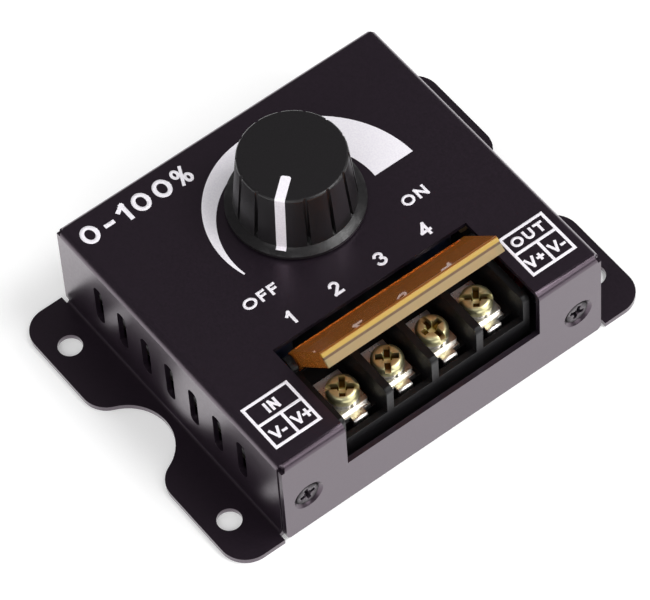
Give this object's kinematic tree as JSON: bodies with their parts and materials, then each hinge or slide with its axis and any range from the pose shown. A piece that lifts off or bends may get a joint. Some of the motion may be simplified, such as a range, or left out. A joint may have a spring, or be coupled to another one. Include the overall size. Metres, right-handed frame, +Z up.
{
  "type": "led strip dimmer",
  "caption": "Low-voltage rotary dimmer in a folded steel box with ears, a fluted knob and screw terminals under a flip cover.",
  "frame": {"origin": "on the mounting surface, under the middle of the box", "axes": "+X right along the terminal side, +Y away from the terminal side, +Z up out of the panel"},
  "size_m": [0.0878, 0.0636, 0.035],
  "materials": {
    "powder_coat": "fine satin black powder coat on folded steel",
    "black_screw": "blackened steel countersunk screws",
    "zinc_steel": "bright zinc plated steel",
    "board": "black solder mask on glass fibre",
    "insulation": "thin pressboard sheet",
    "block": "glossy black moulded thermoset",
    "nickel": "bright nickel plated contacts and washers",
    "yellow_zinc": "yellow passivated zinc on steel screws",
    "amber": "clear amber polycarbonate, glossy",
    "knob": "moulded black knob, half matte",
    "white_mark": "white filled line",
    "pot_case": "drawn metal can",
    "bush": "turned bushing",
    "shaft": "turned shaft",
    "wafer": "phenolic wafer and carrier",
    "spreader": "plain aluminium plate",
    "chip": "black epoxy packages",
    "tin": "tinned leads and tabs",
    "sleeve": "dark sleeved aluminium cans",
    "resistor": "coated axial resistors",
    "film": "dipped film capacitors"
  },
  "bodies": {
    "housing": {"top_cover": "powder_coat", "base_plate": "powder_coat", "cover_screws": "black_screw", "circuit_board": "board", "board_standoffs": "zinc_steel", "board_screws": "zinc_steel", "insulation_sheet": "insulation", "terminal_block": "block", "terminal_contacts": "nickel", "potentiometer_can": "pot_case", "potentiometer_bushing": "bush", "potentiometer_wafer": "wafer", "potentiometer_terminals": "tin", "potentiometer_washer": "zinc_steel", "potentiometer_nut": "zinc_steel", "heat_spreader": "spreader", "mosfet_tabs": "tin", "mosfet_bodies": "chip", "mosfet_leads": "tin", "mosfet_screws": "zinc_steel", "filter_capacitors": "sleeve", "timer_chip": "chip", "timer_chip_legs": "tin", "voltage_regulator": "chip", "flyback_diode": "chip", "resistors": "resistor", "film_capacitors": "film"},
    "control_knob": {"knob": "knob", "knob_pointer": "white_mark", "pot_shaft": "shaft", "knob_spring_clip": "zinc_steel", "wiper_carrier": "wafer", "wiper_contact": "bush"},
    "flip_cover": {"terminal_cover": "amber"},
    "clamp_1": {"clamp_washer_1": "nickel", "split_washer_1": "nickel"},
    "screw_1": {"terminal_screw_1": "yellow_zinc"},
    "clamp_2": {"clamp_washer_2": "nickel", "split_washer_2": "nickel"},
    "screw_2": {"terminal_screw_2": "yellow_zinc"},
    "clamp_3": {"clamp_washer_3": "nickel", "split_washer_3": "nickel"},
    "screw_3": {"terminal_screw_3": "yellow_zinc"},
    "clamp_4": {"clamp_washer_4": "nickel", "split_washer_4": "nickel"},
    "screw_4": {"terminal_screw_4": "yellow_zinc"}
  },
  "joints": [
    {"name": "knob_turn", "type": "hinge", "parent": "housing", "child": "control_knob", "pos_m": [0.0009, 0.00985, 0.03], "axis": [0, 0, 1], "range_deg": [-270, 0]},
    {"name": "flip_cover_hinge", "type": "hinge", "parent": "housing", "child": "flip_cover", "pos_m": [0, -0.015, 0.0199], "axis": [-1, 0, 0], "range_deg": [-46, 50]},
    {"name": "clamp_1_lift", "type": "slide", "parent": "housing", "child": "clamp_1", "axis": [0, 0, 1], "range_m": [0, 0.002]},
    {"name": "screw_1_turn", "type": "hinge", "parent": "clamp_1", "child": "screw_1", "pos_m": [-0.01425, -0.0222, 0.015], "axis": [0, 0, 1], "range_deg": [0, 1440]},
    {"name": "clamp_2_lift", "type": "slide", "parent": "housing", "child": "clamp_2", "axis": [0, 0, 1], "range_m": [0, 0.002]},
    {"name": "screw_2_turn", "type": "hinge", "parent": "clamp_2", "child": "screw_2", "pos_m": [-0.00475, -0.0222, 0.015], "axis": [0, 0, 1], "range_deg": [0, 1440]},
    {"name": "clamp_3_lift", "type": "slide", "parent": "housing", "child": "clamp_3", "axis": [0, 0, 1], "range_m": [0, 0.002]},
    {"name": "screw_3_turn", "type": "hinge", "parent": "clamp_3", "child": "screw_3", "pos_m": [0.00475, -0.0222, 0.015], "axis": [0, 0, 1], "range_deg": [0, 1440]},
    {"name": "clamp_4_lift", "type": "slide", "parent": "housing", "child": "clamp_4", "axis": [0, 0, 1], "range_m": [0, 0.002]},
    {"name": "screw_4_turn", "type": "hinge", "parent": "clamp_4", "child": "screw_4", "pos_m": [0.01425, -0.0222, 0.015], "axis": [0, 0, 1], "range_deg": [0, 1440]}
  ],
  "couplings": [
    {"joint": "screw_1_turn", "follows": "clamp_1_lift", "rad_per_m": 12566},
    {"joint": "screw_2_turn", "follows": "clamp_2_lift", "rad_per_m": 12566},
    {"joint": "screw_3_turn", "follows": "clamp_3_lift", "rad_per_m": 12566},
    {"joint": "screw_4_turn", "follows": "clamp_4_lift", "rad_per_m": 12566}
  ]
}
